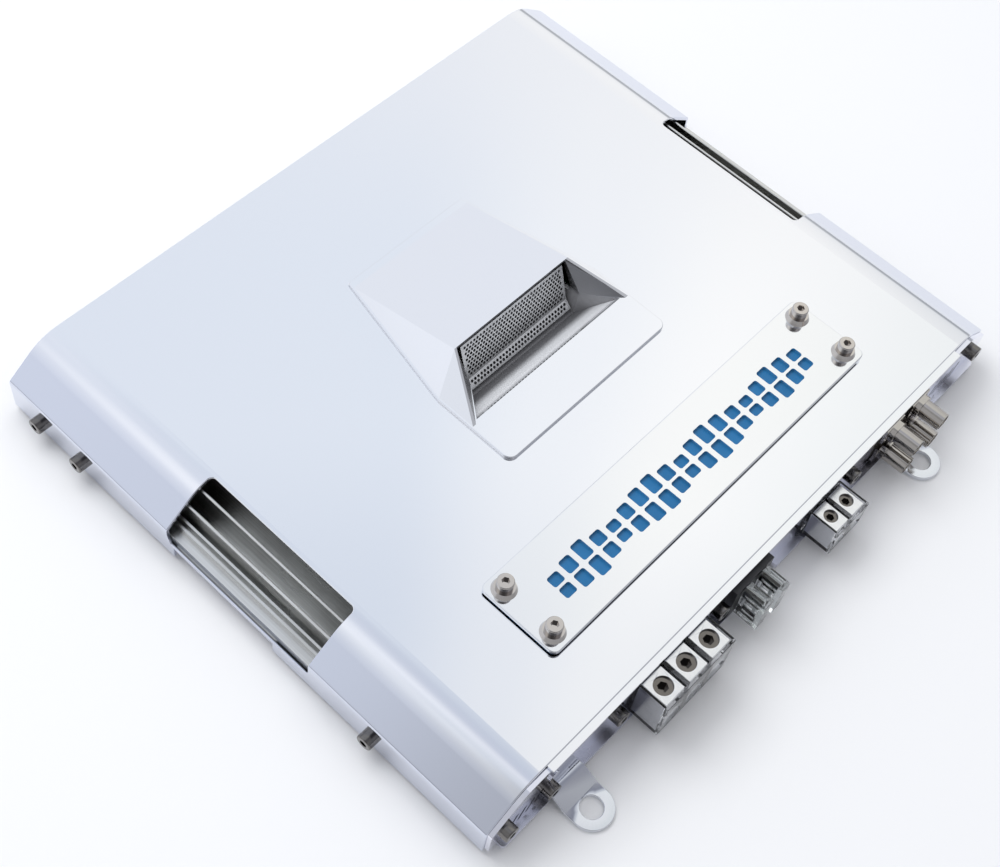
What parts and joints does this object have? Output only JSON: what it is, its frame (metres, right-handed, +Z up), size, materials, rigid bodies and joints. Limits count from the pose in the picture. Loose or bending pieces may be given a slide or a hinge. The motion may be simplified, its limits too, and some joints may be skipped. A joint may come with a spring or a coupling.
{
  "type": "car amplifier",
  "caption": "Flat car audio amplifier with a mirror-finish cover, a raised air scoop, side heatsink windows, screw terminals, fuses, phono sockets and mounting feet.",
  "frame": {"origin": "middle of the whole object's footprint, on the plane its feet stand on", "axes": "+X along the connection panel, left to right as seen from the front; +Y from the connection panel towards the control panel; +Z up through the cover"},
  "size_m": [0.328, 0.3012, 0.048],
  "materials": {
    "polished_cover": "mirror polished stainless sheet",
    "plate_aluminium": "brushed and clear-coated",
    "blue_acrylic": "deep blue translucent acrylic",
    "fin_aluminium": "extruded, brushed",
    "base_steel": "satin black powder coat",
    "panel_steel": "polished stainless",
    "black_screw": "black zinc, slightly worn",
    "bright_screw": "bright zinc",
    "foot_steel": "polished stainless strap",
    "zinc_steel": "zinc plated",
    "mesh_steel": "dark painted perforated sheet",
    "smoke_plastic": "clear grey polycarbonate",
    "plated_brass": "nickel plated brass",
    "black_plastic": "moulded, fine texture",
    "white_plastic": "moulded",
    "fuse_plastic": "clear moulded",
    "fuse_zinc": "bare zinc",
    "board_green": "solder mask over glass epoxy",
    "ferrite": "sintered",
    "copper": "enamelled copper wire",
    "can_sleeve": "shrink sleeve",
    "chip_black": "moulded epoxy",
    "led_red": "clear red"
  },
  "bodies": {
    "amplifier": {"top_cover": "polished_cover", "scoop_housing": "polished_cover", "scoop_mesh": "mesh_steel", "nameplate": "plate_aluminium", "nameplate_backing": "blue_acrylic", "nameplate_spacers": "bright_screw", "nameplate_screws": "bright_screw", "nameplate_nuts": "zinc_steel", "heatsink_left": "fin_aluminium", "heatsink_right": "fin_aluminium", "base_plate": "base_steel", "front_panel": "panel_steel", "rear_panel": "panel_steel", "panel_brackets": "zinc_steel", "front_panel_screws": "black_screw", "case_screws": "black_screw", "foot_front_left": "foot_steel", "foot_front_right": "foot_steel", "foot_rear_left": "foot_steel", "foot_rear_right": "foot_steel", "foot_rivets": "zinc_steel", "power_terminal_housing": "smoke_plastic", "power_terminal_blocks": "plated_brass", "speaker_terminal_housing": "smoke_plastic", "speaker_terminal_blocks": "plated_brass", "fuse_holder": "black_plastic", "rca_block": "black_plastic", "rca_shells": "plated_brass", "rca_insulators": "white_plastic", "potentiometers": "zinc_steel", "switch_bodies": "black_plastic", "status_leds": "led_red", "remote_port": "black_plastic", "circuit_board": "board_green", "standoffs": "zinc_steel", "board_screws": "zinc_steel", "transformer_core": "ferrite", "transformer_winding": "copper", "capacitors": "can_sleeve", "power_transistors": "chip_black", "transistor_clamps": "zinc_steel", "filter_chokes": "ferrite", "driver_chips": "chip_black", "fan_frame": "black_plastic", "fan_screws": "zinc_steel"},
    "fan_rotor": {"fan_rotor": "black_plastic"},
    "level_knob": {"level_knob": "black_plastic"},
    "crossover_knob": {"crossover_knob": "black_plastic"},
    "bass_knob": {"bass_knob": "black_plastic"},
    "filter_switch": {"filter_switch_lever": "white_plastic"},
    "input_switch": {"input_switch_lever": "white_plastic"},
    "fuse_1": {"fuse_body_1": "fuse_plastic", "fuse_blades_1": "fuse_zinc"},
    "fuse_2": {"fuse_body_2": "fuse_plastic", "fuse_blades_2": "fuse_zinc"},
    "power_set_screw_1": {"power_set_screw_1": "zinc_steel"},
    "power_set_screw_2": {"power_set_screw_2": "zinc_steel"},
    "power_set_screw_3": {"power_set_screw_3": "zinc_steel"},
    "speaker_set_screw_1": {"speaker_set_screw_1": "zinc_steel"},
    "speaker_set_screw_2": {"speaker_set_screw_2": "zinc_steel"}
  },
  "joints": [
    {"name": "fan_spin", "type": "hinge", "parent": "amplifier", "child": "fan_rotor", "pos_m": [0, 0.0458, 0.02], "axis": [0, 0, 1], "continuous": true},
    {"name": "level_knob_turn", "type": "hinge", "parent": "amplifier", "child": "level_knob", "pos_m": [-0.062, 0.1378, 0.019], "axis": [0, 1, 0], "range_deg": [0, 280]},
    {"name": "crossover_knob_turn", "type": "hinge", "parent": "amplifier", "child": "crossover_knob", "pos_m": [-0.034, 0.1378, 0.019], "axis": [0, 1, 0], "range_deg": [0, 280]},
    {"name": "bass_knob_turn", "type": "hinge", "parent": "amplifier", "child": "bass_knob", "pos_m": [-0.006, 0.1378, 0.019], "axis": [0, 1, 0], "range_deg": [0, 280]},
    {"name": "filter_switch_slide", "type": "slide", "parent": "amplifier", "child": "filter_switch", "axis": [1, 0, 0], "range_m": [0, 0.003]},
    {"name": "input_switch_slide", "type": "slide", "parent": "amplifier", "child": "input_switch", "axis": [1, 0, 0], "range_m": [0, 0.003]},
    {"name": "power_set_screw_1_drive", "type": "slide", "parent": "amplifier", "child": "power_set_screw_1", "axis": [0, 0, -1], "range_m": [0, 0.0045]},
    {"name": "power_set_screw_2_drive", "type": "slide", "parent": "amplifier", "child": "power_set_screw_2", "axis": [0, 0, -1], "range_m": [0, 0.0045]},
    {"name": "power_set_screw_3_drive", "type": "slide", "parent": "amplifier", "child": "power_set_screw_3", "axis": [0, 0, -1], "range_m": [0, 0.0045]},
    {"name": "speaker_set_screw_1_drive", "type": "slide", "parent": "amplifier", "child": "speaker_set_screw_1", "axis": [0, 0, -1], "range_m": [0, 0.003]},
    {"name": "speaker_set_screw_2_drive", "type": "slide", "parent": "amplifier", "child": "speaker_set_screw_2", "axis": [0, 0, -1], "range_m": [0, 0.003]},
    {"name": "fuse_1_pull", "type": "slide", "parent": "amplifier", "child": "fuse_1", "axis": [0, -1, 0], "range_m": [0, 0.009]},
    {"name": "fuse_2_pull", "type": "slide", "parent": "amplifier", "child": "fuse_2", "axis": [0, -1, 0], "range_m": [0, 0.009]}
  ]
}
